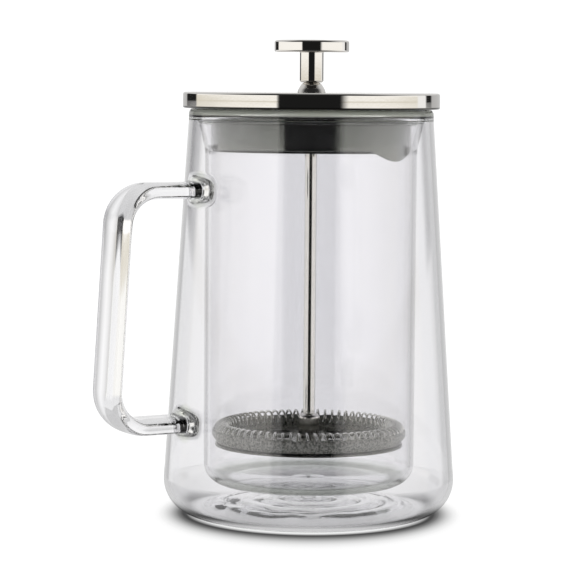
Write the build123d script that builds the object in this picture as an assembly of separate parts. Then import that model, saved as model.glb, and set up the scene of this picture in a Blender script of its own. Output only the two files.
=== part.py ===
from build123d import *
import os

# French press with a double-walled glass jug.
# Millimetres. Origin on the table at the jug's axis, +Z up, the handle on the -X side.
# The plunger is pressed down: its stem rests on the dome bush of the lid.

# Driving dimensions: jug
RIM_RADIUS = 53.1  # outer wall just under the fused rim
FOOT_VERTEX_RADIUS = 64.5  # where the tapered wall would meet the table
RIM_TOP = 176.9
RIM_HEIGHT = 4.4  # solid glass where the two walls are fused
WALL = 2.0
BORE_RADIUS = 44.0  # inside of the inner vessel
MOUTH_RADIUS = 47.3  # inside of the flared neck
NECK_START = 161.0  # height where the neck begins to flare
VESSEL_UNDERSIDE = 13.5
CORNER_RADIUS = 15.5  # outside corner between wall and foot
FOOT_INNER = 46.0
KICK_UP = 5.0  # height of the hollow under the base, at its centre
TIP_RADIUS = 3.0
NOTCH_DEPTH = 2.2  # pouring notch in the rim, opposite the handle
NOTCH_RADIUS = 20.0

# Driving dimensions: handle
STRAP_WIDTH = 20.0
STRAP_THICKNESS = 7.2
STRAP_EDGE_RADIUS = 3.3
ARM_TOP = 142.5  # height of the upper arm's centre line
ARM_BOTTOM = 43.2
BAR_OFFSET = 36.8  # from the jug's outer wall to the bar's centre line
BEND_RADIUS = 15.0

# Driving dimensions: lid
LID_RADIUS = 55.75
LID_HEIGHT = 7.0
STEEL = 0.8  # sheet thickness of cap, plate and skirt
GASKET = 0.6
SKIRT_RADIUS = 43.5
SKIRT_BOTTOM = 159.6
TONGUE_DEPTH = 4.6
TONGUE_HALF_WIDTH = 15.0
TONGUE_ANGLE = -66.0  # around Z from +X
DOME_RADIUS = 6.15
DOME_HEIGHT = 4.3
SLEEVE_RADIUS = 4.5
GUIDE_RADIUS = 3.7
NUT_FLATS = 13.0

# Driving dimensions: plunger
ROD_RADIUS = 2.6
RUNNING_CLEARANCE = 0.05
STEM_RADIUS = 5.2
STEM_LENGTH = 13.0
KNOB_RADIUS = 16.2
KNOB_THICKNESS = 5.5
STUD_RADIUS = 2.4
COLLAR_RADIUS = 4.55
COLLAR_TOP = 44.0
FILTER_RADIUS = 42.5
FILTER_TOP = 40.7
CROSS_PLATE_RADIUS = 41.0
CROSS_PLATE_BOTTOM = 30.4
CROSS_PLATE_THICKNESS = 1.0
MESH = 0.35
SPRING_PLATE_RADIUS = 35.0
COIL_RADIUS = 38.4  # centre line of the coil ring
COIL_TUBE = 3.6  # radius of one turn of the coil
COIL_SKIN = 0.3

# Heights that follow from the driving dimensions
SEAM = RIM_TOP - RIM_HEIGHT  # joint between outer wall and rim
PLATE_UNDERSIDE = RIM_TOP + GASKET
PLATE_TOP = PLATE_UNDERSIDE + STEEL
LID_TOP = RIM_TOP + LID_HEIGHT
DOME_TOP = LID_TOP + DOME_HEIGHT
STEM_TOP = DOME_TOP + STEM_LENGTH
KNOB_TOP = STEM_TOP + KNOB_THICKNESS
MESH_FLOOR = CROSS_PLATE_BOTTOM + CROSS_PLATE_THICKNESS
SPRING_PLATE_BOTTOM = MESH_FLOOR + MESH
COLLAR_BOTTOM = SPRING_PLATE_BOTTOM + STEEL


def turned(*corners, radius=0.0):
    """A body turned about the Z axis from the corners (radius, height) of its half outline."""
    points = [corner[:2] for corner in corners]
    radii = [corner[2] if len(corner) > 2 else radius for corner in corners]
    outline = Plane.XZ * FilletPolyline(*points, radius=radii, close=True)
    return revolve(make_face(outline), Axis.Z)


def ring(inner, outer, bottom, top):
    """A plain flat or tubular ring."""
    return turned((inner, bottom), (outer, bottom), (outer, top), (inner, top))


def wall_radius(height):
    """Outside radius of the tapered outer wall."""
    return FOOT_VERTEX_RADIUS - (FOOT_VERTEX_RADIUS - RIM_RADIUS) * height / SEAM


def outer_glass():
    inner_foot = wall_radius(WALL) - WALL
    return turned(
        (TIP_RADIUS, KICK_UP),
        (FOOT_INNER - 3.0, 2.4, 2.0),
        (FOOT_INNER - 0.5, 0.0, 1.5),
        (FOOT_VERTEX_RADIUS, 0.0, CORNER_RADIUS),
        (RIM_RADIUS, SEAM),
        (RIM_RADIUS - WALL, SEAM),
        (inner_foot, WALL, CORNER_RADIUS - WALL),
        (FOOT_INNER, WALL, 2.0),
        (FOOT_INNER - 3.0, 2.4 + WALL, 2.0),
        (TIP_RADIUS, KICK_UP + WALL),
    )


def base_seal_tip():
    return turned(
        (0, KICK_UP - 2.3),
        (1.4, KICK_UP - 2.0, 0.8),
        (TIP_RADIUS, KICK_UP),
        (TIP_RADIUS, KICK_UP + WALL),
        (0, KICK_UP + WALL + 1.2),
    )


def pouring_notch():
    cutter = Cylinder(NOTCH_RADIUS, 2 * WALL + RIM_RADIUS - BORE_RADIUS)
    centre = Vector((RIM_RADIUS + BORE_RADIUS) / 2, 0, RIM_TOP + NOTCH_RADIUS - NOTCH_DEPTH)
    return Pos(centre) * Rot(0, 90, 0) * cutter


def inner_glass():
    vessel = turned(
        (0, VESSEL_UNDERSIDE + 1.4),
        (34.0, VESSEL_UNDERSIDE, 40.0),
        (BORE_RADIUS + WALL, VESSEL_UNDERSIDE, 9.0),
        (BORE_RADIUS + WALL, NECK_START - 2.0, 12.0),
        (MOUTH_RADIUS + WALL, SEAM - 1.2, 1.5),
        (RIM_RADIUS - WALL, SEAM, 0.0),
        (RIM_RADIUS, SEAM),
        (RIM_RADIUS, RIM_TOP, 3.0),
        (MOUTH_RADIUS + 0.6, RIM_TOP, 1.6),
        (MOUTH_RADIUS, SEAM - 1.0, 3.0),
        (BORE_RADIUS, NECK_START, 15.0),
        (BORE_RADIUS, VESSEL_UNDERSIDE + WALL, 7.0),
        (34.0, VESSEL_UNDERSIDE + WALL, 40.0),
        (2.5, VESSEL_UNDERSIDE + WALL + 1.4, 2.0),
        (0, VESSEL_UNDERSIDE + WALL + 2.4),
    )
    return vessel - pouring_notch()


def handle():
    start = Vector(-wall_radius(ARM_TOP) + 6, 0, ARM_TOP)
    upper_corner = Vector(-wall_radius(ARM_TOP) - BAR_OFFSET, 0, ARM_TOP)
    lower_corner = Vector(-wall_radius(ARM_BOTTOM) - BAR_OFFSET, 0, ARM_BOTTOM)
    end = Vector(-wall_radius(ARM_BOTTOM) + 6, 0, ARM_BOTTOM)
    path = FilletPolyline(start, upper_corner, lower_corner, end, radius=BEND_RADIUS)
    section_plane = Plane(origin=start, x_dir=(0, 1, 0), z_dir=(-1, 0, 0))
    section = section_plane * RectangleRounded(STRAP_WIDTH, STRAP_THICKNESS, STRAP_EDGE_RADIUS)
    strap = sweep(section, path=path)
    jug_core = turned((0, 0), (FOOT_VERTEX_RADIUS, 0), (RIM_RADIUS, SEAM), (0, SEAM))
    return strap - jug_core


def lid_gasket():
    return ring(SKIRT_RADIUS + 0.3, RIM_RADIUS - 2.1, RIM_TOP, PLATE_UNDERSIDE)


def lid_cap():
    inside = LID_RADIUS - STEEL
    return turned(
        (SLEEVE_RADIUS, LID_TOP),
        (SLEEVE_RADIUS, LID_TOP - STEEL),
        (inside, LID_TOP - STEEL, 0.5),
        (inside, PLATE_UNDERSIDE),
        (inside - 1.0, PLATE_UNDERSIDE),
        (inside - 1.0, RIM_TOP, 0.25),
        (LID_RADIUS, RIM_TOP, 0.5),
        (LID_RADIUS, LID_TOP, 1.2),
    )


def lid_base_plate():
    return ring(SLEEVE_RADIUS, LID_RADIUS - STEEL - 0.1, PLATE_UNDERSIDE, PLATE_TOP)


def tongue_outline():
    """The rounded tongue, drawn flat on a plane square to its direction."""
    ends = (-TONGUE_HALF_WIDTH, 0), (TONGUE_HALF_WIDTH, 0)
    curve = Spline(ends[0], (0, -TONGUE_DEPTH), ends[1], tangents=[(1, 0), (1, 0)])
    return make_face([curve, Line(ends[1], ends[0])])


def lid_skirt():
    inside = SKIRT_RADIUS - STEEL
    shell = turned(
        (inside, SKIRT_BOTTOM - TONGUE_DEPTH - 1),
        (SKIRT_RADIUS, SKIRT_BOTTOM - TONGUE_DEPTH - 1),
        (SKIRT_RADIUS, PLATE_UNDERSIDE, 1.4),
        (inside - 5.0, PLATE_UNDERSIDE),
        (inside - 5.0, PLATE_UNDERSIDE - STEEL),
        (inside, PLATE_UNDERSIDE - STEEL, 0.6),
    )
    drum = Pos(0, 0, SKIRT_BOTTOM + 20) * Cylinder(LID_RADIUS, 40)
    direction = Vector(1, 0, 0).rotate(Axis.Z, TONGUE_ANGLE)
    across = Vector(0, 0, 1).cross(direction)
    face_plane = Plane(origin=(0, 0, SKIRT_BOTTOM), x_dir=across, z_dir=direction)
    tongue = extrude(face_plane * tongue_outline(), amount=LID_RADIUS)
    return shell & (drum + tongue)


def dome_bush():
    lip_radius = ROD_RADIUS + 0.3
    return turned(
        (lip_radius, DOME_TOP),
        (lip_radius, DOME_TOP - 1.6),
        (GUIDE_RADIUS + RUNNING_CLEARANCE, DOME_TOP - 1.6),
        (GUIDE_RADIUS + RUNNING_CLEARANCE, PLATE_UNDERSIDE - 5.5),
        (SLEEVE_RADIUS, PLATE_UNDERSIDE - 5.5),
        (SLEEVE_RADIUS, LID_TOP),
        (DOME_RADIUS, LID_TOP),
        (DOME_RADIUS, DOME_TOP, 3.0),
    )


def lid_spacer():
    return ring(SLEEVE_RADIUS, SLEEVE_RADIUS + 1.5, PLATE_TOP, LID_TOP - STEEL)


def lid_washer():
    return ring(SLEEVE_RADIUS, 9.0, PLATE_UNDERSIDE - 1.5, PLATE_UNDERSIDE)


def lid_nut():
    top = PLATE_UNDERSIDE - 1.5
    sleeve_end = PLATE_UNDERSIDE - 5.5
    bottom = sleeve_end - 1.0
    hexagon = RegularPolygon(NUT_FLATS / 2, 6, major_radius=False)
    body = Pos(0, 0, bottom) * extrude(hexagon, amount=top - bottom)
    sleeve_hole = ring(0, SLEEVE_RADIUS, sleeve_end, top)
    rod_hole = ring(0, ROD_RADIUS + 0.3, bottom, sleeve_end)
    return body - sleeve_hole - rod_hole


def rod_guide():
    bottom = PLATE_UNDERSIDE - 5.4
    return ring(ROD_RADIUS + RUNNING_CLEARANCE, GUIDE_RADIUS, bottom, DOME_TOP - 1.7)


def knob_disc():
    return turned(
        (0, STEM_TOP + 3.0),
        (STUD_RADIUS, STEM_TOP + 3.0),
        (STUD_RADIUS, STEM_TOP),
        (KNOB_RADIUS, STEM_TOP, 0.8),
        (KNOB_RADIUS, KNOB_TOP - 0.3, 1.1),
        (0, KNOB_TOP),
    )


def knob_stem():
    rod_end = STEM_TOP - 4.5
    return turned(
        (ROD_RADIUS, DOME_TOP),
        (STEM_RADIUS - 0.5, DOME_TOP),
        (STEM_RADIUS, DOME_TOP + 0.5),
        (STEM_RADIUS, STEM_TOP),
        (STUD_RADIUS, STEM_TOP),
        (STUD_RADIUS, rod_end),
        (ROD_RADIUS, rod_end),
    )


def knob_stud():
    return ring(0, STUD_RADIUS, STEM_TOP - 4.5, STEM_TOP + 3.0)


def plunger_rod():
    return ring(0, ROD_RADIUS, CROSS_PLATE_BOTTOM - 2.4, STEM_TOP - 4.5)


def rod_collar():
    return turned(
        (ROD_RADIUS, COLLAR_BOTTOM),
        (COLLAR_RADIUS, COLLAR_BOTTOM),
        (COLLAR_RADIUS, COLLAR_TOP, 1.0),
        (ROD_RADIUS, COLLAR_TOP),
    )


def punched(plate, hole_radius, circles):
    """The plate with round holes on circles given as (circle radius, number of holes)."""
    for circle_radius, count in circles:
        plate -= PolarLocations(circle_radius, count) * Cylinder(hole_radius, 100)
    return plate


def spring_plate():
    plate = ring(ROD_RADIUS, SPRING_PLATE_RADIUS, SPRING_PLATE_BOTTOM, COLLAR_BOTTOM)
    return punched(plate, 4.5, [(13.0, 6), (26.0, 12)])


def coil_ring():
    """The coiled wire's outer form: a thin skin around a ring, with an open seam on its inside."""
    height = FILTER_TOP - COIL_TUBE
    centre = Location((COIL_RADIUS, height))
    section = centre * (Circle(COIL_TUBE) - Circle(COIL_TUBE - COIL_SKIN))
    section -= Location((COIL_RADIUS - COIL_TUBE, height)) * Rectangle(COIL_TUBE, 1.0)
    return revolve(Plane.XZ * section, Axis.Z)


def mesh_cup():
    return turned(
        (ROD_RADIUS, MESH_FLOOR),
        (CROSS_PLATE_RADIUS - 0.4, MESH_FLOOR, 1.5),
        (FILTER_RADIUS, FILTER_TOP - 5.5, 3.0),
        (FILTER_RADIUS, FILTER_TOP),
        (FILTER_RADIUS - MESH, FILTER_TOP),
        (FILTER_RADIUS - MESH, FILTER_TOP - 5.5, 2.7),
        (CROSS_PLATE_RADIUS - 0.8, SPRING_PLATE_BOTTOM, 1.2),
        (ROD_RADIUS, SPRING_PLATE_BOTTOM),
    )


def cross_plate():
    plate = turned(
        (ROD_RADIUS, CROSS_PLATE_BOTTOM),
        (CROSS_PLATE_RADIUS, CROSS_PLATE_BOTTOM, 0.3),
        (CROSS_PLATE_RADIUS, MESH_FLOOR, 0.3),
        (ROD_RADIUS, MESH_FLOOR),
    )
    return punched(plate, 1.5, [(11.0, 10), (18.0, 18), (25.0, 26), (32.0, 32)])


def lock_washer():
    return ring(ROD_RADIUS, 5.2, CROSS_PLATE_BOTTOM - 0.8, CROSS_PLATE_BOTTOM)


def filter_nut():
    top = CROSS_PLATE_BOTTOM - 0.8
    bottom = top - 3.6
    hexagon = RegularPolygon(4.5, 6, major_radius=False)
    body = Pos(0, 0, bottom) * extrude(hexagon, amount=top - bottom)
    rounding = turned((0, bottom), (6.0, bottom, 2.0), (6.0, top), (0, top))
    return (body & rounding) - ring(0, ROD_RADIUS, CROSS_PLATE_BOTTOM - 2.4, top)


PARTS = [
    outer_glass,
    inner_glass,
    handle,
    base_seal_tip,
    lid_gasket,
    lid_cap,
    lid_base_plate,
    lid_skirt,
    lid_spacer,
    lid_washer,
    lid_nut,
    dome_bush,
    rod_guide,
    knob_disc,
    knob_stem,
    knob_stud,
    plunger_rod,
    rod_collar,
    spring_plate,
    coil_ring,
    mesh_cup,
    cross_plate,
    lock_washer,
    filter_nut,
]

os.makedirs("parts", exist_ok=True)
for part in PARTS:
    export_step(part(), f"parts/{part.__name__}.step")
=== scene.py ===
import math

import bmesh
import bpy
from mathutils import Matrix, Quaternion, Vector, noise


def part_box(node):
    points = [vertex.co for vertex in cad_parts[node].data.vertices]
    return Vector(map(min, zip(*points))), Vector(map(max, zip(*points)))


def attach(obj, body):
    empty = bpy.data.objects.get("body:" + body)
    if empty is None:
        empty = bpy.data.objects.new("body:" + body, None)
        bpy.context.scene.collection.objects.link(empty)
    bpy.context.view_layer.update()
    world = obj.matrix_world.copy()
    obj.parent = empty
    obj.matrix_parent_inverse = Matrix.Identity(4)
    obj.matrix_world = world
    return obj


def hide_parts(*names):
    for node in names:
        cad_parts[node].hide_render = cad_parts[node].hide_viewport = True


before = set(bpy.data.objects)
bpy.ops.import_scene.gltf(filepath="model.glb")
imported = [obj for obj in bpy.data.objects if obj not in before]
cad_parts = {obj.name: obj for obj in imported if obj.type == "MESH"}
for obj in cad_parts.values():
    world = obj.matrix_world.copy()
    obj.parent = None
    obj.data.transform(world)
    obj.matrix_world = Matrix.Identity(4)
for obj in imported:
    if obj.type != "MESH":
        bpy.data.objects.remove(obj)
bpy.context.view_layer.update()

# All lengths are in metres. Most heights and radii that the CAD fixes are read from its nodes.
MM = 0.001
TURN = 2 * math.pi


def low(node):
    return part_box(node)[0].z


def high(node):
    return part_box(node)[1].z


def radius(node):
    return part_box(node)[1].x


# ---------------------------------------------------------------- mesh helpers


def fillet(before, corner, after, size, step=math.radians(6)):
    """Points of the arc that rounds a corner of an outline."""
    a = (Vector(before) - Vector(corner)).normalized()
    b = (Vector(after) - Vector(corner)).normalized()
    half = a.angle(b) / 2
    reach = size / math.tan(half)
    centre = Vector(corner) + (a + b).normalized() * (size / math.sin(half))
    start = Vector(corner) + a * reach - centre
    sweep = math.pi - 2 * half
    if a.x * b.y - a.y * b.x > 0:
        sweep = -sweep
    count = max(2, math.ceil(abs(sweep) / step))
    points = []
    for k in range(count + 1):
        turn = sweep * k / count
        cos, sin = math.cos(turn), math.sin(turn)
        points.append(centre + Vector((start.x * cos - start.y * sin, start.x * sin + start.y * cos)))
    return points


def rounded(corners, closed=False, support=0.12 * MM, longest=6 * MM):
    """The outline through (radius, height, fillet) corners, with points close to the ends of each run."""
    corners = [(*c, 0.0) if len(c) == 2 else c for c in corners]
    count = len(corners)
    arcs = []
    for i, (x, y, size) in enumerate(corners):
        if size <= 0 or (not closed and i in (0, count - 1)):
            arcs.append([Vector((x, y))])
        else:
            arcs.append(fillet(corners[i - 1][:2], (x, y), corners[(i + 1) % count][:2], size))
    result = []
    for i, arc in enumerate(arcs):
        result += arc
        if i + 1 < count or closed:
            start, end = arc[-1], arcs[(i + 1) % count][0]
            run = (end - start).length
            cuts = math.ceil(run / longest)
            inner = [k / cuts for k in range(1, cuts)]
            if run > 4 * support:
                inner += [support / run, 1 - support / run]
            result += [start.lerp(end, t) for t in sorted(inner)]
    return result


def new_piece(name, vertices, faces, uvs=None):
    mesh = bpy.data.meshes.new(name)
    mesh.from_pydata(vertices, [], faces)
    mesh.shade_smooth()
    if uvs:
        layer = mesh.uv_layers.new(name="UVMap")
        for loop in mesh.loops:
            layer.data[loop.index].uv = uvs[loop.vertex_index]
    obj = bpy.data.objects.new(name, mesh)
    bpy.context.scene.collection.objects.link(obj)
    return obj


def turned_mesh(outline, closed, segments, first=0, left_out=()):
    """Vertices and faces of an outline turned about Z. The outline runs outwards along the underside.
    left_out holds windows without faces, as ranges of rows and columns."""
    vertices, faces, rings = [], [], []
    for point in outline:
        if point.x < 1e-7:
            rings.append([first + len(vertices)] * segments)
            vertices.append((0.0, 0.0, point.y))
            continue
        rings.append([first + len(vertices) + k for k in range(segments)])
        for k in range(segments):
            turn = TURN * k / segments
            vertices.append((point.x * math.cos(turn), point.x * math.sin(turn), point.y))
    pairs = list(zip(rings, rings[1:] + rings[:1] if closed else rings[1:]))
    for row, (a, b) in enumerate(pairs):
        for k in range(segments):
            if any(row in rows and k in columns for rows, columns in left_out):
                continue
            n = (k + 1) % segments
            corners = [a[k], a[n], b[n], b[k]]
            face = [v for i, v in enumerate(corners) if v not in corners[:i]]
            if len(face) > 2:
                faces.append(face)
    return vertices, faces


def turned(name, corners, closed=False, segments=192, **options):
    outline = rounded(corners, closed, **options)
    vertices, faces = turned_mesh(outline, closed, segments)
    return new_piece(name, vertices, faces)


def tube(name, path, wire, sides=8, closed=True):
    """A round wire along a closed list of points."""
    vertices, faces = [], []
    count = len(path)
    for i, point in enumerate(path):
        ahead = path[(i + 1) % count] - path[i - 1]
        side = ahead.cross(Vector((point.x, point.y, 0))).normalized()
        out = side.cross(ahead).normalized()
        for k in range(sides):
            turn = TURN * k / sides
            vertices.append(point + (side * math.cos(turn) + out * math.sin(turn)) * wire)
    for i in range(count):
        j = (i + 1) % count
        for k in range(sides):
            n = (k + 1) % sides
            faces.append([i * sides + k, j * sides + k, j * sides + n, i * sides + n])
    return new_piece(name, vertices, faces)


# ---------------------------------------------------------------- materials


class Nodes:
    """A material's node tree, with short ways to add and join nodes."""

    def __init__(self, name):
        self.material = bpy.data.materials.new(name)
        self.material.use_nodes = True
        self.tree = self.material.node_tree
        self.shader = self.tree.nodes["Principled BSDF"]
        self.output = self.tree.nodes["Material Output"]
        self.place = self.add("ShaderNodeTexCoord").outputs["Object"]

    def add(self, kind, **settings):
        node = self.tree.nodes.new(kind)
        for key, value in settings.items():
            setattr(node, key, value)
        return node

    def join(self, source, target):
        self.tree.links.new(source, target)

    def set(self, **values):
        for key, value in values.items():
            self.shader.inputs[key.replace("_", " ")].default_value = value

    def noise(self, scale, detail=3.0, stretch=(1, 1, 1)):
        mapping = self.add("ShaderNodeMapping")
        mapping.inputs["Scale"].default_value = stretch
        self.join(self.place, mapping.inputs["Vector"])
        texture = self.add("ShaderNodeTexNoise")
        texture.inputs["Scale"].default_value = scale
        texture.inputs["Detail"].default_value = detail
        self.join(mapping.outputs["Vector"], texture.inputs["Vector"])
        return texture.outputs["Fac"]

    def ramp(self, source, low_value, high_value, low_at=0.3, high_at=0.7):
        node = self.add("ShaderNodeMapRange")
        node.inputs["From Min"].default_value = low_at
        node.inputs["From Max"].default_value = high_at
        node.inputs["To Min"].default_value = low_value
        node.inputs["To Max"].default_value = high_value
        self.join(source, node.inputs["Value"])
        return node.outputs["Result"]

    def stops(self, source, values):
        node = self.add("ShaderNodeValToRGB")
        elements = node.color_ramp.elements
        while len(elements) < len(values):
            elements.new(0.5)
        for element, (place, level) in zip(elements, values):
            element.position = place
            element.color = (level, level, level, 1)
        self.join(source, node.inputs["Fac"])
        return node.outputs["Color"]

    def tint(self, source, first, second, low_at=0.3, high_at=0.7):
        node = self.add("ShaderNodeValToRGB")
        node.color_ramp.elements[0].position = low_at
        node.color_ramp.elements[0].color = (*first, 1)
        node.color_ramp.elements[1].position = high_at
        node.color_ramp.elements[1].color = (*second, 1)
        self.join(source, node.inputs["Fac"])
        return node.outputs["Color"]

    def bump(self, height, distance, strength=1.0):
        node = self.add("ShaderNodeBump")
        node.inputs["Strength"].default_value = strength
        node.inputs["Distance"].default_value = distance
        self.join(height, node.inputs["Height"])
        self.join(node.outputs["Normal"], self.shader.inputs["Normal"])
        return node


RIM_TINT = (173.7 * MM, 174.5 * MM)


def glass(name):
    """Clear borosilicate: faint waves and smears, more colour where the glass is thick, and painted shade
    round the bottom corner of the inner vessel.
    """
    n = Nodes(name)
    n.set(Transmission_Weight=1.0, IOR=1.47)
    parts = n.add("ShaderNodeSeparateXYZ")
    n.join(n.place, parts.inputs["Vector"])
    height = parts.outputs["Z"]

    def maths(operation, first, second):
        node = n.add("ShaderNodeMath", operation=operation)
        n.join(first, node.inputs[0])
        if isinstance(second, float):
            node.inputs[1].default_value = second
        else:
            n.join(second, node.inputs[1])
        return node.outputs["Value"]

    def mixed(share, first, second):
        node = n.add("ShaderNodeMixRGB")
        n.join(share, node.inputs["Fac"])
        n.join(first, node.inputs["Color1"])
        n.join(second, node.inputs["Color2"])
        return node.outputs["Color"]

    def near(centre, inner, outer):
        node = n.add("ShaderNodeVectorMath", operation="DISTANCE")
        n.join(n.place, node.inputs[0])
        node.inputs[1].default_value = centre
        return n.ramp(node.outputs["Value"], 1.0, 0.0, inner, outer)

    def band(source, rise, fall, level=1.0):
        """Level between the end of the rise and the start of the fall, nothing outside them."""
        return maths("MULTIPLY", n.ramp(source, 0.0, 1.0, *rise), n.ramp(source, level, 0.0, *fall))

    across, along = parts.outputs["X"], parts.outputs["Y"]
    squares = maths("ADD", maths("MULTIPLY", across, across), maths("MULTIPLY", along, along))
    reach = maths("SQRT", squares, 1.0)
    rim = n.ramp(height, 0.0, 1.0, *RIM_TINT)
    welds = maths("MAXIMUM", near((-wall_radius(ARM_TOP), 0, ARM_TOP), 5 * MM, 9 * MM),
                  near((-wall_radius(ARM_BOTTOM), 0, ARM_BOTTOM), 5 * MM, 9 * MM))
    # The corner band (grey) and the edge band (dark) are painted shade: they darken the glass round the
    # inner vessel's rounded bottom corner, where it shows dark.
    under_vessel = (10 * MM, 12 * MM)
    corner = band(height, under_vessel, (16.5 * MM, 19.0 * MM))
    corner = maths("MULTIPLY", corner, n.ramp(reach, 1.0, 0.0, 46.6 * MM, 48.0 * MM))
    corner = maths("MULTIPLY", corner, n.ramp(reach, 0.25, 1.0, 36 * MM, 42 * MM))
    edge = band(height, under_vessel, (15.2 * MM, 16.4 * MM), 0.95)
    edge = maths("MULTIPLY", edge, band(reach, (33.5 * MM, 36.5 * MM), (43.0 * MM, 45.0 * MM)))
    clear = n.tint(n.noise(30, 2), (0.963, 0.961, 0.974), (0.973, 0.971, 0.981))
    green = n.tint(n.noise(90, 2), (0.84, 0.88, 0.76), (0.92, 0.94, 0.87))
    grey = n.tint(n.noise(60, 2), (0.70, 0.72, 0.70), (0.82, 0.84, 0.82))
    dark = n.tint(n.noise(60, 2), (0.20, 0.22, 0.19), (0.34, 0.36, 0.32))
    colour = mixed(edge, mixed(corner, clear, grey), dark)
    colour = mixed(maths("MAXIMUM", rim, welds), colour, green)
    n.join(colour, n.shader.inputs["Base Color"])
    body = maths("MAXIMUM", rim, maths("MULTIPLY", welds, 0.25))
    n.join(n.ramp(body, 1.0, 0.62, 0.0, 1.0), n.shader.inputs["Transmission Weight"])
    n.join(n.ramp(n.noise(55, 4), 0.006, 0.012, 0.35, 0.75), n.shader.inputs["Roughness"])
    n.bump(n.noise(38, 1, (1, 1, 0.35)), 0.004 * MM)
    return n.material


def steel(name, bright, dull, rough, grain=900.0, stretch=(1, 1, 1), depth=0.002 * MM):
    """Stainless steel: fine finishing marks, and smears that change colour and gloss a little."""
    n = Nodes(name)
    n.set(Metallic=1.0, Roughness=rough)
    smears = n.noise(42, 4)
    n.join(n.tint(smears, dull, bright), n.shader.inputs["Base Color"])
    n.join(n.ramp(n.noise(70, 5), rough * 0.7, rough * 1.6), n.shader.inputs["Roughness"])
    n.bump(n.noise(grain, 2, stretch), depth)
    return n.material


def woven(name):
    """Fine wire cloth: light wires, dark holes and the grain of the weave."""
    n = Nodes(name)
    n.set(Metallic=0.3, Roughness=0.5)
    weave = n.noise(1150, 1)
    colour = n.tint(weave, (0.46, 0.47, 0.42), (0.99, 0.99, 0.92), 0.38, 0.60)
    n.join(colour, n.shader.inputs["Base Color"])
    n.join(n.ramp(n.noise(80, 3), 0.42, 0.62), n.shader.inputs["Roughness"])
    n.bump(weave, 0.12 * MM)
    return n.material


def painted_shade_edge(material, edge, soft=0.15 * MM, dark=(0.035, 0.033, 0.028)):
    """Paints shade into a material: darkens its colour below the given height, or above it if soft is
    negative.
    """
    tree = material.node_tree
    place = tree.nodes.new("ShaderNodeTexCoord").outputs["Object"]
    parts = tree.nodes.new("ShaderNodeSeparateXYZ")
    tree.links.new(place, parts.inputs["Vector"])
    share = tree.nodes.new("ShaderNodeMapRange")
    share.inputs["From Min"].default_value = edge - soft
    share.inputs["From Max"].default_value = edge + soft
    tree.links.new(parts.outputs["Z"], share.inputs["Value"])
    mix = tree.nodes.new("ShaderNodeMixRGB")
    colour = tree.nodes["Principled BSDF"].inputs["Base Color"]
    tree.links.new(share.outputs["Result"], mix.inputs["Fac"])
    mix.inputs["Color1"].default_value = (*dark, 1)
    tree.links.new(colour.links[0].from_socket, mix.inputs["Color2"])
    tree.links.new(mix.outputs["Color"], colour)
    return material


def silicone(name):
    n = Nodes(name)
    n.set(Roughness=0.5, Subsurface_Weight=0.3)
    n.join(n.tint(n.noise(300, 3), (0.62, 0.64, 0.62), (0.72, 0.73, 0.71)), n.shader.inputs["Base Color"])
    n.bump(n.noise(1400, 2), 0.02 * MM)
    return n.material


def plastic(name):
    n = Nodes(name)
    n.set(Roughness=0.45)
    n.join(n.tint(n.noise(200, 3), (0.66, 0.65, 0.61), (0.74, 0.73, 0.69)), n.shader.inputs["Base Color"])
    n.bump(n.noise(1100, 2), 0.02 * MM)
    return n.material


# ---------------------------------------------------------------- studio


CAMERA_AZIMUTH = math.radians(-30)
CAMERA_DISTANCE = 1.078
CAMERA_HEIGHT = 0.190
CAMERA_PITCH = math.radians(4.77)
CAMERA_YAW = math.radians(0.578)
CAMERA_ROLL = math.radians(0.42)
SENSOR_WIDTH = 36
FOCAL_LENGTH = 156.6
towards_camera = Vector((math.sin(CAMERA_AZIMUTH), -math.cos(CAMERA_AZIMUTH), 0))
camera_right = Vector((math.cos(CAMERA_AZIMUTH), math.sin(CAMERA_AZIMUTH), 0))


def make_camera():
    data = bpy.data.cameras.new("camera")
    data.sensor_width = SENSOR_WIDTH
    data.lens = FOCAL_LENGTH
    data.clip_start = 0.02
    data.clip_end = 50
    camera = bpy.data.objects.new("camera", data)
    bpy.context.scene.collection.objects.link(camera)
    heading = -towards_camera * math.cos(CAMERA_YAW) - camera_right * math.sin(CAMERA_YAW)
    forward = heading * math.cos(CAMERA_PITCH) - Vector((0, 0, 1)) * math.sin(CAMERA_PITCH)
    camera.location = towards_camera * CAMERA_DISTANCE + Vector((0, 0, CAMERA_HEIGHT))
    camera.rotation_mode = "QUATERNION"
    roll = Quaternion((0, 0, 1), CAMERA_ROLL)
    camera.rotation_quaternion = forward.to_track_quat("-Z", "Y") @ roll
    bpy.context.scene.camera = camera


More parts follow.
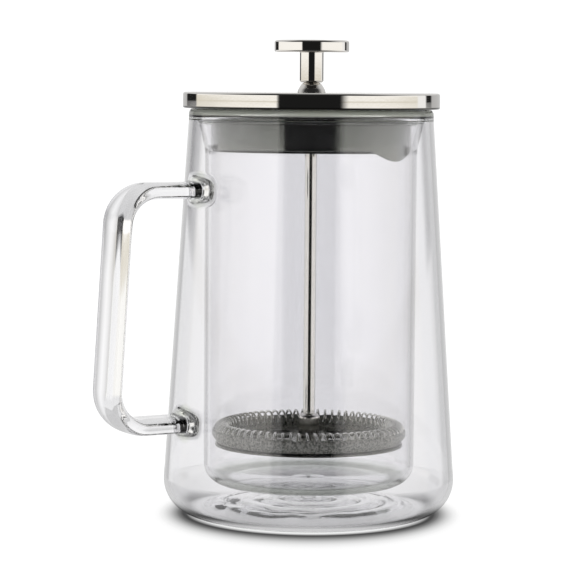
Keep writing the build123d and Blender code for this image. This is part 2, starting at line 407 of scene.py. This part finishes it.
def make_world():
    """A studio as light by direction: cream panels left and right, a dark room in front, white behind."""
    world = bpy.data.worlds.new("studio")
    bpy.context.scene.world = world
    world.use_nodes = True
    tree = world.node_tree
    tree.nodes.clear()

    def add(kind, **settings):
        node = tree.nodes.new(kind)
        for key, value in settings.items():
            setattr(node, key, value)
        return node

    def ramp(source, stops):
        node = add("ShaderNodeValToRGB")
        elements = node.color_ramp.elements
        while len(elements) < len(stops):
            elements.new(0.5)
        for element, (place, colour) in zip(elements, stops):
            element.position = place
            element.color = (*colour, 1)
        tree.links.new(source, node.inputs["Fac"])
        return node.outputs["Color"]

    def mix(factor, first, second):
        node = add("ShaderNodeMixRGB")
        for value, name in ((factor, "Fac"), (first, "Color1"), (second, "Color2")):
            if isinstance(value, tuple):
                node.inputs[name].default_value = (*value, 1)
            else:
                tree.links.new(value, node.inputs[name])
        return node.outputs["Color"]

    place = add("ShaderNodeTexCoord").outputs["Generated"]

    def along(direction):
        node = add("ShaderNodeVectorMath", operation="DOT_PRODUCT")
        tree.links.new(place, node.inputs[0])
        node.inputs[1].default_value = direction
        return node.outputs["Value"]

    def share(value, low_end, high_end):
        node = add("ShaderNodeMapRange")
        node.inputs["From Min"].default_value = low_end
        node.inputs["From Max"].default_value = high_end
        tree.links.new(value, node.inputs["Value"])
        return node.outputs["Result"]

    angle = add("ShaderNodeMath", operation="ARCTAN2")
    tree.links.new(along(camera_right), angle.inputs[0])
    tree.links.new(along(towards_camera), angle.inputs[1])
    azimuth = share(angle.outputs["Value"], -math.pi, math.pi)

    def grey(level):
        return (level, level, level)

    def by_azimuth(stops):
        """A ramp over degrees around the object: 0 towards the camera, positive to the right."""
        return ramp(azimuth, [((degrees + 180) / 360, colour) for degrees, colour in stops])

    def room(panel, side, gap):
        """Light around the object: white behind, grey beside it, dark gaps, two panels, a dark front."""
        return by_azimuth([
            (-180, grey(1.0)), (-171, grey(0.82)), (-164, grey(0.60)), (-156, grey(0.55)),
            (-149, grey(0.53)), (-146, gap), (-125, gap), (-123, side), (-97, side),
            (-90, panel), (-31, panel), (-29, grey(0.012)), (26, grey(0.012)), (33, panel),
            (108, panel), (110, grey(0.98)), (122, grey(0.98)), (124, gap), (133, gap),
            (136, grey(0.50)), (150, grey(0.54)), (157, grey(0.56)), (164, grey(0.60)),
            (171, grey(0.78)), (180, grey(1.0)),
        ])

    cream, pale, bright = (0.78, 0.74, 0.64), (1.10, 1.08, 1.04), (1.0, 0.99, 0.95)
    level_light = room(cream, cream, grey(0.015))
    high_light = room(pale, pale, grey(0.015))
    table_light = room(pale, bright, grey(0.95))
    middle = by_azimuth([
        (-180, grey(0.75)), (-105, grey(0.60)), (-85, grey(0.30)), (-65, grey(0.04)), (-30, grey(0.02)),
        (30, grey(0.02)), (65, grey(0.04)), (85, grey(0.30)), (105, grey(0.60)), (180, grey(0.75)),
    ])
    ground = by_azimuth([
        (-180, grey(0.90)), (-80, grey(0.80)), (-50, grey(0.15)),
        (50, grey(0.15)), (80, grey(0.80)), (180, grey(0.90)),
    ])

    def height(degrees):
        """Where an elevation lies on the ramps from straight down to straight up."""
        return 0.5 + 0.5 * math.sin(math.radians(degrees))

    level = share(along((0, 0, 1)), -1, 1)
    above = ramp(level, [(height(-0.02), grey(0)), (height(0.2), grey(1))])
    below = ramp(level, [(height(-1.05), grey(1)), (height(-0.85), grey(0))])
    off = ramp(level, [(height(9), grey(0)), (height(14), grey(1))])
    down = ramp(level, [(height(-18), grey(1)), (height(-11), grey(0))])
    overhead = ramp(level, [(height(62), grey(0)), (height(74), grey(1))])
    light = mix(above, level_light, high_light)
    light = mix(below, light, table_light)
    light = mix(off, light, middle)
    light = mix(down, light, ground)
    light = mix(overhead, light, grey(0.35))
    path = add("ShaderNodeLightPath")
    light = mix(path.outputs["Is Diffuse Ray"], light, grey(0.95))
    light = mix(path.outputs["Is Camera Ray"], light, grey(1.1))
    background = add("ShaderNodeBackground")
    tree.links.new(light, background.inputs["Color"])
    output = add("ShaderNodeOutputWorld")
    tree.links.new(background.outputs["Background"], output.inputs["Surface"])


FLOOR_RADIUS = 0.15
SHADOW_INNER = (55 * MM, 57.7 * MM)
SHADOW_OUTER = (71 * MM, 101 * MM)
SHADOW_FADE = [
    (0.0, 0.07), (0.15, 0.19), (0.29, 0.39), (0.44, 0.62), (0.59, 0.81), (0.74, 0.93), (1.0, 1.0),
]


def make_floor():
    """A pale light table with a soft shadow that hugs the jug and falls towards the camera."""
    n = Nodes("light_table")
    n.set(Roughness=0.9)
    n.shader.inputs["Specular IOR Level"].default_value = 0.1

    def math_node(operation, *values):
        node = n.add("ShaderNodeMath", operation=operation)
        for socket, value in zip(node.inputs, values):
            if isinstance(value, float):
                socket.default_value = value
            else:
                n.join(value, socket)
        return node.outputs["Value"]

    def along(direction, size):
        node = n.add("ShaderNodeVectorMath", operation="DOT_PRODUCT")
        n.join(n.place, node.inputs[0])
        node.inputs[1].default_value = direction / size
        return node.outputs["Value"]

    def oval(sizes):
        across = along(camera_right, sizes[0])
        ahead = along(towards_camera, sizes[1])
        squares = math_node("ADD", math_node("POWER", across, 2.0), math_node("POWER", ahead, 2.0))
        return math_node("SQRT", squares)

    inner, outer = oval(SHADOW_INNER), oval(SHADOW_OUTER)
    past = math_node("SUBTRACT", inner, 1.0)
    left = math_node("SUBTRACT", 1.0, outer)
    share = math_node("DIVIDE", past, math_node("ADD", past, left))
    fade = n.stops(share, SHADOW_FADE)
    under = n.stops(inner, [(0.90, 0.84), (0.985, 0.0)])
    behind = n.ramp(along(towards_camera, 1.0), 0.0, 1.0, -12 * MM, -45 * MM)
    shade = math_node("MAXIMUM", math_node("MAXIMUM", fade, under), behind)
    colour = n.add("ShaderNodeMixRGB")
    n.join(shade, colour.inputs["Fac"])
    colour.inputs["Color1"].default_value = (0, 0, 0, 1)
    n.join(n.tint(n.noise(60, 3), (0.90, 0.90, 0.90), (0.92, 0.92, 0.92)), colour.inputs["Color2"])
    seen = n.add("ShaderNodeLightPath").outputs["Is Camera Ray"]
    # Every ray but the camera's own finds the table dimmer, by its place along the two sides.
    sideways = math_node("ABSOLUTE", along(camera_right, 1.0))
    close = n.ramp(sideways, 0.80, 0.56, 40 * MM, 75 * MM)
    far = n.ramp(sideways, 0.88, 0.55, 35 * MM, 90 * MM)
    around = n.add("ShaderNodeVectorMath", operation="LENGTH")
    n.join(n.place, around.inputs[0])
    reach = n.ramp(around.outputs["Value"], 0.0, 1.0, 68 * MM, 115 * MM)
    step = math_node("MULTIPLY", reach, math_node("SUBTRACT", far, close))
    direct = math_node("MAXIMUM", seen, math_node("ADD", close, step))
    n.join(math_node("MULTIPLY", shade, direct), n.shader.inputs["Emission Strength"])
    n.set(Emission_Color=(1.0, 1.0, 1.0, 1))
    thin = n.add("ShaderNodeMixRGB")
    thin.inputs["Fac"].default_value = 0.92
    n.join(colour.outputs["Color"], thin.inputs["Color1"])
    thin.inputs["Color2"].default_value = (0, 0, 0, 1)
    n.join(thin.outputs["Color"], n.shader.inputs["Base Color"])
    floor = turned("floor", [(0, -0.05 * MM), (FLOOR_RADIUS, -0.05 * MM)], segments=96, longest=0.1)
    floor.data.flip_normals()
    floor.data.materials.append(n.material)


# ---------------------------------------------------------------- jug


SEAM = high("outer_glass")
RIM_TOP = high("inner_glass")
RIM_RADIUS = radius("inner_glass")
WALL = 2.0 * MM
BORE = 44.0 * MM
MOUTH = 47.3 * MM
NECK_START = 161.0 * MM
VESSEL_UNDERSIDE = low("inner_glass")
FOOT_VERTEX = 64.48 * MM
FOOT_INNER = 46.0 * MM
KICK_UP = 5.0 * MM
RIPPLE_INNER = 3.0 * MM
RIPPLE_OUTER = 44.5 * MM
NOTCH_DEPTH = 2.2 * MM
NOTCH_RADIUS = 20.0 * MM


def wall_radius(height):
    return FOOT_VERTEX - (FOOT_VERTEX - RIM_RADIUS) * height / SEAM


def outer_skin():
    """All glass that meets the room air: under the base, up the wall, over the rim, down the bore."""
    return rounded([
        (0, KICK_UP - 2.3 * MM),
        (1.5 * MM, KICK_UP - 2.2 * MM, 0.9 * MM),
        (2.6 * MM, KICK_UP - 0.4 * MM, 1.0 * MM),
        (10.2 * MM, KICK_UP - 0.3 * MM, 0.8 * MM),
        (10.9 * MM, KICK_UP - 1.0 * MM, 0.5 * MM),
        (12.4 * MM, KICK_UP - 0.9 * MM, 0.8 * MM),
        (FOOT_INNER - 6.0 * MM, 2.7 * MM, 9.0 * MM),
        (FOOT_INNER, 0.0, 5.0 * MM),
        (FOOT_VERTEX, 0.0, 15.5 * MM),
        (RIM_RADIUS, SEAM, 30 * MM),
        (RIM_RADIUS, RIM_TOP, 2.4 * MM),
        (50.3 * MM, RIM_TOP, 0.9 * MM),
        (MOUTH - 0.2 * MM, SEAM + 0.6 * MM, 3.5 * MM),
        (BORE, NECK_START, 12.0 * MM),
        (BORE, VESSEL_UNDERSIDE + WALL, 7.0 * MM),
        (34.0 * MM, VESSEL_UNDERSIDE + WALL, 40.0 * MM),
        (7.0 * MM, VESSEL_UNDERSIDE + WALL + 0.5 * MM, 9.0 * MM),
        (0, VESSEL_UNDERSIDE + WALL + 1.2 * MM),
    ], longest=2 * MM)


def void_skin():
    """The sealed space between the two walls."""
    return rounded([
        (0, VESSEL_UNDERSIDE + 1.4 * MM),
        (34.0 * MM, VESSEL_UNDERSIDE, 40.0 * MM),
        (BORE + WALL, VESSEL_UNDERSIDE, 9.0 * MM),
        (BORE + WALL, NECK_START - 2.0 * MM, 14.0 * MM),
        (48.7 * MM, SEAM - 1.7 * MM, 3.5 * MM),
        (50.3 * MM, SEAM - 0.1 * MM, 0.3 * MM),
        (RIM_RADIUS - WALL, SEAM - 0.5 * MM, 0.4 * MM),
        (wall_radius(WALL) - WALL, WALL, 13.5 * MM),
        (FOOT_INNER + 0.5 * MM, WALL, 6.0 * MM),
        (FOOT_INNER - 6.0 * MM, 2.9 * MM + WALL, 9.0 * MM),
        (3.4 * MM, KICK_UP + WALL - 0.1 * MM, 1.0 * MM),
        (1.0 * MM, KICK_UP + WALL + 1.1 * MM, 0.6 * MM),
        (0, KICK_UP + WALL + 1.2 * MM),
    ], longest=2 * MM)


def ripple_base(vertex, phase):
    """Presses the rings and the uneven relief of hand-worked glass into the hollow under the base."""
    x, y, z = vertex
    reach = math.hypot(x, y)
    if reach > RIPPLE_OUTER or reach < RIPPLE_INNER or z > 12 * MM:
        return vertex
    share = min(1.0, (RIPPLE_OUTER - reach) / (5 * MM), (reach - RIPPLE_INNER) / (4 * MM))
    rings = 0.26 * MM * math.sin(TURN * reach / (11 * MM) + phase)
    side = max(0.0, Vector((x, y, 0)).dot(towards_camera - camera_right) / (50 * MM))
    lumps = (0.04 + 0.75 * side) * MM * noise.noise(Vector((x * 85, y * 85, phase)))
    lumps += 0.12 * MM * noise.noise(Vector((x * 25, y * 25, phase)))
    return x, y, z + share * (rings + lumps)


def dip_rim(vertex):
    """Lowers the rim into a shallow pouring notch on the side away from the handle."""
    x, y, z = vertex
    if x > 0 and z > SEAM and abs(y) < NOTCH_RADIUS:
        dip = NOTCH_DEPTH - NOTCH_RADIUS + math.sqrt(NOTCH_RADIUS**2 - y * y)
        if dip > 0:
            z -= dip * (z - SEAM) / (RIM_TOP - SEAM)
    return x, y, z


STRAP_WIDTH = 20.0 * MM
STRAP_THICKNESS = 7.2 * MM
ARM_TOP = 142.5 * MM
ARM_BOTTOM = 43.2 * MM
BAR_OFFSET = 36.8 * MM
BEND = 15.0 * MM
SEGMENTS = 256
WINDOW_COLUMNS = 11
WINDOW_ROWS = 6
ROW_HEIGHT = 1.4 * MM
WELD = 4.4 * MM
WELD_HALF_WIDTH = 14.0 * MM
WELD_HALF_HEIGHT = 7.6 * MM
FLAT_STEPS = 4
RISING_STEPS = 9


def joint_rows(outline, arm):
    """The outline with evenly spaced rows on the outer wall around an arm."""
    heights = [arm + k * ROW_HEIGHT for k in range(-WINDOW_ROWS, WINDOW_ROWS + 1)]

    def on_wall_near(point):
        reach = (WINDOW_ROWS + 0.4) * ROW_HEIGHT
        return point.x > wall_radius(point.y) - 0.3 * MM and abs(point.y - arm) < reach

    kept = [p for p in outline if not on_wall_near(p)]
    before = [p for p in kept if p.x > wall_radius(p.y) - 0.3 * MM and p.y < arm]
    at = kept.index(before[-1]) + 1
    rows = [Vector((wall_radius(z), z)) for z in heights]
    return kept[:at] + rows + kept[at:]


def window_steps():
    """Column and row offsets around a window, anticlockwise as seen from outside."""
    wide, tall = WINDOW_COLUMNS, WINDOW_ROWS
    steps = [(i, -tall) for i in range(-wide, wide)]
    steps += [(wide, j) for j in range(-tall, tall)]
    steps += [(i, tall) for i in range(wide, -wide, -1)]
    steps += [(-wide, j) for j in range(tall, -tall, -1)]
    return steps


def strap_section(power=3.3):
    """One point of the strap's rounded outline for every step around a window, in half widths."""
    points = []
    for i, j in window_steps():
        turn = math.atan2(j / WINDOW_ROWS, i / WINDOW_COLUMNS)
        cos, sin = math.cos(turn), math.sin(turn)
        reach = (abs(cos) ** power + abs(sin) ** power) ** (-1 / power)
        points.append((reach * cos, reach * sin))
    return points


def weld_rings(arm, boundary, flip):
    """Rings that close the window to an oval on the wall and then rise in a smooth weld to the strap."""
    section = strap_section()
    rings = []
    for step in range(1, FLAT_STEPS + RISING_STEPS + 1):
        flat = min(1.0, step / FLAT_STEPS)
        turn = math.pi / 2 * max(0, step - FLAT_STEPS) / RISING_STEPS
        inward, lift = math.sin(turn), WELD * (1 - math.cos(turn))
        ring = []
        for (across, through), (_, y, z) in zip(section, boundary):
            foot_y, foot_z = -across * WELD_HALF_WIDTH, arm + through * flip * WELD_HALF_HEIGHT
            end_y, end_z = -across * STRAP_WIDTH / 2, arm + through * flip * STRAP_THICKNESS / 2
            y += (foot_y - y) * flat + (end_y - foot_y) * inward
            z += (foot_z - z) * flat + (end_z - foot_z) * inward
            ring.append((-math.sqrt(wall_radius(z) ** 2 - y * y) - lift, y, z))
        rings.append(ring)
    return rings


def strap_rings():
    """Sections of the strap from the upper weld round both bends to the lower weld."""
    upper, lower = wall_radius(ARM_TOP), wall_radius(ARM_BOTTOM)
    corners = [
        (-upper - WELD - 3 * MM, ARM_TOP),
        (-upper - BAR_OFFSET, ARM_TOP, BEND),
        (-lower - BAR_OFFSET, ARM_BOTTOM, BEND),
        (-lower - WELD - 3 * MM, ARM_BOTTOM),
    ]
    line = rounded(corners, support=1.0, longest=4 * MM)
    rings = []
    for i, point in enumerate(line):
        ahead = (line[min(i + 1, len(line) - 1)] - line[max(i - 1, 0)]).normalized()
        out = Vector((ahead.y, -ahead.x))
        ring = []
        for across, through in strap_section():
            place = point + out * through * STRAP_THICKNESS / 2
            ring.append((place.x, -across * STRAP_WIDTH / 2, place.y))
        rings.append(ring)
    return rings


def make_jug(material):
    """Jug and handle as one body of glass: the skin that meets the air, and that of the sealed space."""
    outline = outer_skin()
    for arm in (ARM_BOTTOM, ARM_TOP):
        outline = joint_rows(outline, arm)
    middle = SEGMENTS // 2
    columns = range(middle - WINDOW_COLUMNS, middle + WINDOW_COLUMNS)
    lowest = {}
    for arm in (ARM_BOTTOM, ARM_TOP):
        start = arm - WINDOW_ROWS * ROW_HEIGHT
        corner = Vector((wall_radius(start), start))
        lowest[arm] = min(range(len(outline)), key=lambda i: (outline[i] - corner).length)
    windows = [(range(row, row + 2 * WINDOW_ROWS), columns) for row in lowest.values()]
    skin, faces = turned_mesh(outline, False, SEGMENTS, left_out=windows)

    def boundary(arm, flip):
        """The window's edge in the skin, whose first row is the single point at the centre."""
        row = lowest[arm] + WINDOW_ROWS
        loop = [(middle + i, row + flip * j) for i, j in window_steps()]
        return [1 + (r - 1) * SEGMENTS + k for k, r in loop]

    top, bottom = boundary(ARM_TOP, 1), boundary(ARM_BOTTOM, -1)
    skin = [dip_rim(ripple_base(v, 0.0)) for v in skin]
    rings = weld_rings(ARM_TOP, [skin[v] for v in top], 1)
    rings += strap_rings()
    rings += reversed(weld_rings(ARM_BOTTOM, [skin[v] for v in bottom], -1))
    loops = [top]
    for ring in rings:
        loops.append([len(skin) + k for k in range(len(ring))])
        skin += ring
    loops.append(bottom)
    for a, b in zip(loops, loops[1:]):
        for k in range(len(a)):
            n = (k + 1) % len(a)
            faces.append([a[k], a[n], b[n], b[k]])
    void, void_faces = turned_mesh(void_skin(), False, SEGMENTS, first=len(skin))
    void = [ripple_base(v, 4.0) for v in void]
    jug = new_piece("jug_glass", skin + void, faces + void_faces)
    drop_loose(jug)
    jug.data.materials.append(material)
    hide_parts("outer_glass", "inner_glass", "base_seal_tip", "handle")
    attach(jug, "jug")


def drop_loose(piece):
    """Removes the points that the windows left without faces."""
    shape = bmesh.new()
    shape.from_mesh(piece.data)
    bmesh.ops.delete(shape, geom=[v for v in shape.verts if not v.link_faces], context="VERTS")
    shape.to_mesh(piece.data)
    shape.free()


# ---------------------------------------------------------------- lid


PLATE_UNDERSIDE = low("lid_base_plate")
LID_TOP = high("lid_cap")
LID_BOTTOM = low("lid_cap")
LID_RADIUS = radius("lid_cap")
DOME_TOP = high("dome_bush")
DOME_RADIUS = radius("dome_bush")
SLEEVE_RADIUS = 4.5 * MM
SKIRT_RADIUS = 43.5 * MM
SKIRT_BOTTOM = 159.6 * MM
TONGUE_DEPTH = 4.6 * MM
TONGUE_HALF_WIDTH = 15.0 * MM
TONGUE_ANGLE = math.radians(-66)
STEEL = 0.8 * MM
SKIRT_SHADE_AT = 168 * MM
SKIRT_SHADE_SOFT = 7 * MM


def finish_piece(piece, material, node, body):
    piece.data.materials.append(material)
    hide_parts(node)
    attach(piece, body)


def make_lid(mirror, lid_steel, skirt_steel):
    inside = LID_RADIUS - STEEL
    shell = turned("lid_shell", [
        (SLEEVE_RADIUS, LID_TOP - STEEL),
        (inside, LID_TOP - STEEL, 0.5 * MM),
        (inside, LID_BOTTOM + 0.6 * MM, 0.2 * MM),
        (inside - 0.9 * MM, LID_BOTTOM + 0.5 * MM, 0.2 * MM),
        (inside - 0.9 * MM, LID_BOTTOM, 0.2 * MM),
        (LID_RADIUS - 0.02 * MM, LID_BOTTOM, 0.8 * MM),
        (LID_RADIUS, LID_BOTTOM + 3.4 * MM, 40 * MM),
        (LID_RADIUS - 0.03 * MM, LID_TOP, 1.1 * MM),
        (SLEEVE_RADIUS, LID_TOP),
    ], closed=True)
    finish_piece(shell, lid_steel, "lid_cap", "lid")

    lip = 2.9 * MM
    dome = turned("dome_bush_fine", [
        (lip, DOME_TOP - 1.6 * MM),
        (3.75 * MM, DOME_TOP - 1.6 * MM),
        (3.75 * MM, PLATE_UNDERSIDE - 5.5 * MM),
        (SLEEVE_RADIUS, PLATE_UNDERSIDE - 5.5 * MM, 0.2 * MM),
        (SLEEVE_RADIUS, LID_TOP),
        (DOME_RADIUS, LID_TOP, 0.05 * MM),
        (DOME_RADIUS - 0.5 * MM, LID_TOP + 1.5 * MM, 3.0 * MM),
        (DOME_RADIUS - 1.7 * MM, LID_TOP + 3.5 * MM, 3.0 * MM),
        (lip + 0.5 * MM, DOME_TOP, 0.8 * MM),
        (lip, DOME_TOP, 0.15 * MM),
    ], closed=True)
    finish_piece(dome, mirror, "dome_bush", "lid")

    inside = SKIRT_RADIUS - STEEL
    outline = rounded([
        (inside - 5.0 * MM, PLATE_UNDERSIDE - STEEL),
        (inside, PLATE_UNDERSIDE - STEEL, 0.6 * MM),
        (inside, SKIRT_BOTTOM, 0.3 * MM),
        (SKIRT_RADIUS, SKIRT_BOTTOM, 0.3 * MM),
        (SKIRT_RADIUS, PLATE_UNDERSIDE, 1.4 * MM),
        (inside - 5.0 * MM, PLATE_UNDERSIDE),
    ], closed=True, longest=1.5 * MM)
    vertices, faces = turned_mesh(outline, True, 360)
    vertices = [hang_tongue(v) for v in vertices]
    skirt = new_piece("lid_skirt_fine", vertices, faces)
    finish_piece(skirt, skirt_steel, "lid_skirt", "lid")


def hang_tongue(vertex):
    """Draws the skirt's lower edge down into one rounded tongue."""
    x, y, z = vertex
    turn = math.remainder(math.atan2(y, x) - TONGUE_ANGLE, TURN)
    share = SKIRT_RADIUS * math.sin(turn) / TONGUE_HALF_WIDTH
    rise = (z - SKIRT_BOTTOM) / (9 * MM)
    if abs(turn) < 1 and abs(share) < 1 and rise < 1:
        z -= TONGUE_DEPTH * (1 - share * share) ** 1.4 * (1 - rise) ** 1.5
    return x, y, z


# ---------------------------------------------------------------- plunger


ROD_RADIUS = radius("plunger_rod")
STEM_RADIUS = radius("knob_stem")
STEM_TOP = high("knob_stem")
KNOB_TOP = high("knob_disc")
KNOB_RADIUS = radius("knob_disc")
COLLAR_TOP = high("rod_collar")
COLLAR_BOTTOM = low("rod_collar")
COLLAR_RADIUS = radius("rod_collar")
FILTER_TOP = high("mesh_cup")
FILTER_RADIUS = radius("mesh_cup")
MESH_FLOOR = high("cross_plate")
COIL_RADIUS = 38.4 * MM
LOOPS = 72
COIL_POINTS = LOOPS * 20
LOOP_RADIUS = 2.98 * MM
WIRE = 0.52 * MM
MESH = 0.2 * MM


def make_plunger(mirror, rod_steel, wire, mesh_material):
    disc = turned("knob_disc_fine", [
        (0, STEM_TOP),
        (KNOB_RADIUS, STEM_TOP, 0.8 * MM),
        (KNOB_RADIUS, KNOB_TOP - 0.3 * MM, 1.1 * MM),
        (0, KNOB_TOP),
    ])
    finish_piece(disc, mirror, "knob_disc", "plunger")

    stem = turned("knob_stem_fine", [
        (ROD_RADIUS, DOME_TOP),
        (STEM_RADIUS - 0.6 * MM, DOME_TOP, 0.1 * MM),
        (STEM_RADIUS, DOME_TOP + 0.7 * MM, 0.3 * MM),
        (STEM_RADIUS, STEM_TOP),
        (2.4 * MM, STEM_TOP),
        (2.4 * MM, STEM_TOP - 4.5 * MM),
        (ROD_RADIUS, STEM_TOP - 4.5 * MM),
    ], closed=True)
    finish_piece(stem, mirror, "knob_stem", "plunger")

    rod = turned("plunger_rod_fine", [
        (0, low("plunger_rod")),
        (ROD_RADIUS, low("plunger_rod"), 0.4 * MM),
        (ROD_RADIUS, high("plunger_rod")),
        (0, high("plunger_rod")),
    ], segments=96)
    finish_piece(rod, rod_steel, "plunger_rod", "plunger")

    collar = turned("rod_collar_fine", [
        (ROD_RADIUS, COLLAR_BOTTOM),
        (COLLAR_RADIUS, COLLAR_BOTTOM, 0.2 * MM),
        (COLLAR_RADIUS, COLLAR_TOP, 1.85 * MM),
        (ROD_RADIUS, COLLAR_TOP),
    ], closed=True, segments=96)
    finish_piece(collar, mirror, "rod_collar", "plunger")

    height = FILTER_TOP - 0.05 * MM - LOOP_RADIUS - WIRE
    path = []
    for i in range(COIL_POINTS):
        around = TURN * i / COIL_POINTS
        turn = -around * LOOPS
        wander = 1 + 0.035 * noise.noise(Vector((math.cos(around) * 9, math.sin(around) * 9, 0)))
        reach = COIL_RADIUS + LOOP_RADIUS * wander * math.cos(turn)
        rise = height + LOOP_RADIUS * math.sin(turn)
        path.append(Vector((reach * math.cos(around), reach * math.sin(around), rise)))
    coil = tube("coil_wire", path, WIRE)
    finish_piece(coil, wire, "coil_ring", "plunger")

    hole, outside = ROD_RADIUS + 0.3 * MM, FILTER_RADIUS - 0.15 * MM
    bottom, turn_up, edge = MESH_FLOOR + 0.02 * MM, MESH_FLOOR + 3.6 * MM, FILTER_TOP - 3.0 * MM
    cup = turned("mesh_cup_fine", [
        (hole, bottom),
        (39.8 * MM, bottom, 1.8 * MM),
        (outside, turn_up, 3.0 * MM),
        (FILTER_RADIUS - 0.12 * MM, edge, 1.0 * MM),
        (outside - MESH, edge),
        (outside - MESH, turn_up, 2.8 * MM),
        (39.6 * MM, bottom + MESH, 1.6 * MM),
        (hole, bottom + MESH),
    ], closed=True, segments=LOOPS * 8, longest=1.2 * MM)
    for vertex in cup.data.vertices:
        x, y, z = vertex.co
        reach = math.hypot(x, y)
        if reach > 38 * MM:
            around = math.atan2(y, x)
            puff = min(1, (z - MESH_FLOOR) / (3 * MM)) * (0.10 * MM) * (math.cos(LOOPS * around) - 1)
            vertex.co.x *= 1 + puff / reach
            vertex.co.y *= 1 + puff / reach
            if z > FILTER_TOP - 5 * MM:
                frayed = noise.noise(Vector((math.cos(around) * 14, math.sin(around) * 14, 3)))
                vertex.co.z += 0.5 * MM * frayed * (z - FILTER_TOP + 5 * MM) / (2 * MM)
    finish_piece(cup, mesh_material, "mesh_cup", "plunger")


# ---------------------------------------------------------------- build


GLASS_BOUNCES = 32
MIRROR_BOUNCES = 12

make_camera()
make_world()
make_floor()
mirror_look = ((0.87, 0.85, 0.82), (0.82, 0.80, 0.77), 0.035)
mirror = steel("mirror_steel", *mirror_look)
# The lid's lower edge is painted black: painted shade and a painted dark reflection along its bottom
# bead.
lid_steel = painted_shade_edge(steel("lid_steel", *mirror_look), LID_BOTTOM + 0.9 * MM)
rod_steel = steel("rod_steel", (0.88, 0.87, 0.83), (0.82, 0.81, 0.77), 0.05)
# The skirt's steel is painted much darker than the lid's, and darker again towards the top: painted shade
# under the lid and inside the glass.
skirt_steel = steel("skirt_steel", (0.20, 0.21, 0.19), (0.165, 0.175, 0.155), 0.09)
skirt_steel = painted_shade_edge(skirt_steel, SKIRT_SHADE_AT, -SKIRT_SHADE_SOFT, (0.10, 0.105, 0.095))
satin = steel("satin_steel", (0.62, 0.62, 0.59), (0.52, 0.52, 0.49), 0.22)
wire = steel("wire_steel", (0.95, 0.95, 0.91), (0.85, 0.85, 0.81), 0.10)
# The bottom of the mesh cup is painted dark: painted shade and a painted dark reflection along the
# filter's lower edge.
mesh_material = painted_shade_edge(woven("mesh_cloth"), MESH_FLOOR + 0.5 * MM)
make_jug(glass("jug_glass"))
make_lid(mirror, lid_steel, skirt_steel)
make_plunger(mirror, rod_steel, wire, mesh_material)
plain = {
    "lid_gasket": (silicone("silicone"), "silicone"),
    "rod_guide": (plastic("guide_plastic"), "guide_plastic"),
    # The cross plate is painted near black all over: painted shade and a painted dark reflection at its
    # rim and underside.
    "cross_plate": (steel("painted_shade_plate_steel", (0.16, 0.16, 0.15), (0.10, 0.10, 0.09), 0.25), "satin_steel"),
}
for name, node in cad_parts.items():
    if not node.hide_render:
        material, slot = plain.get(name, (satin, "satin_steel"))
        node.data.materials.clear()
        node.data.materials.append(material)

scene = bpy.context.scene
scene.view_settings.view_transform = "Standard"
scene.cycles.max_bounces = GLASS_BOUNCES
scene.cycles.transmission_bounces = GLASS_BOUNCES
scene.cycles.glossy_bounces = MIRROR_BOUNCES
scene.cycles.transparent_max_bounces = GLASS_BOUNCES
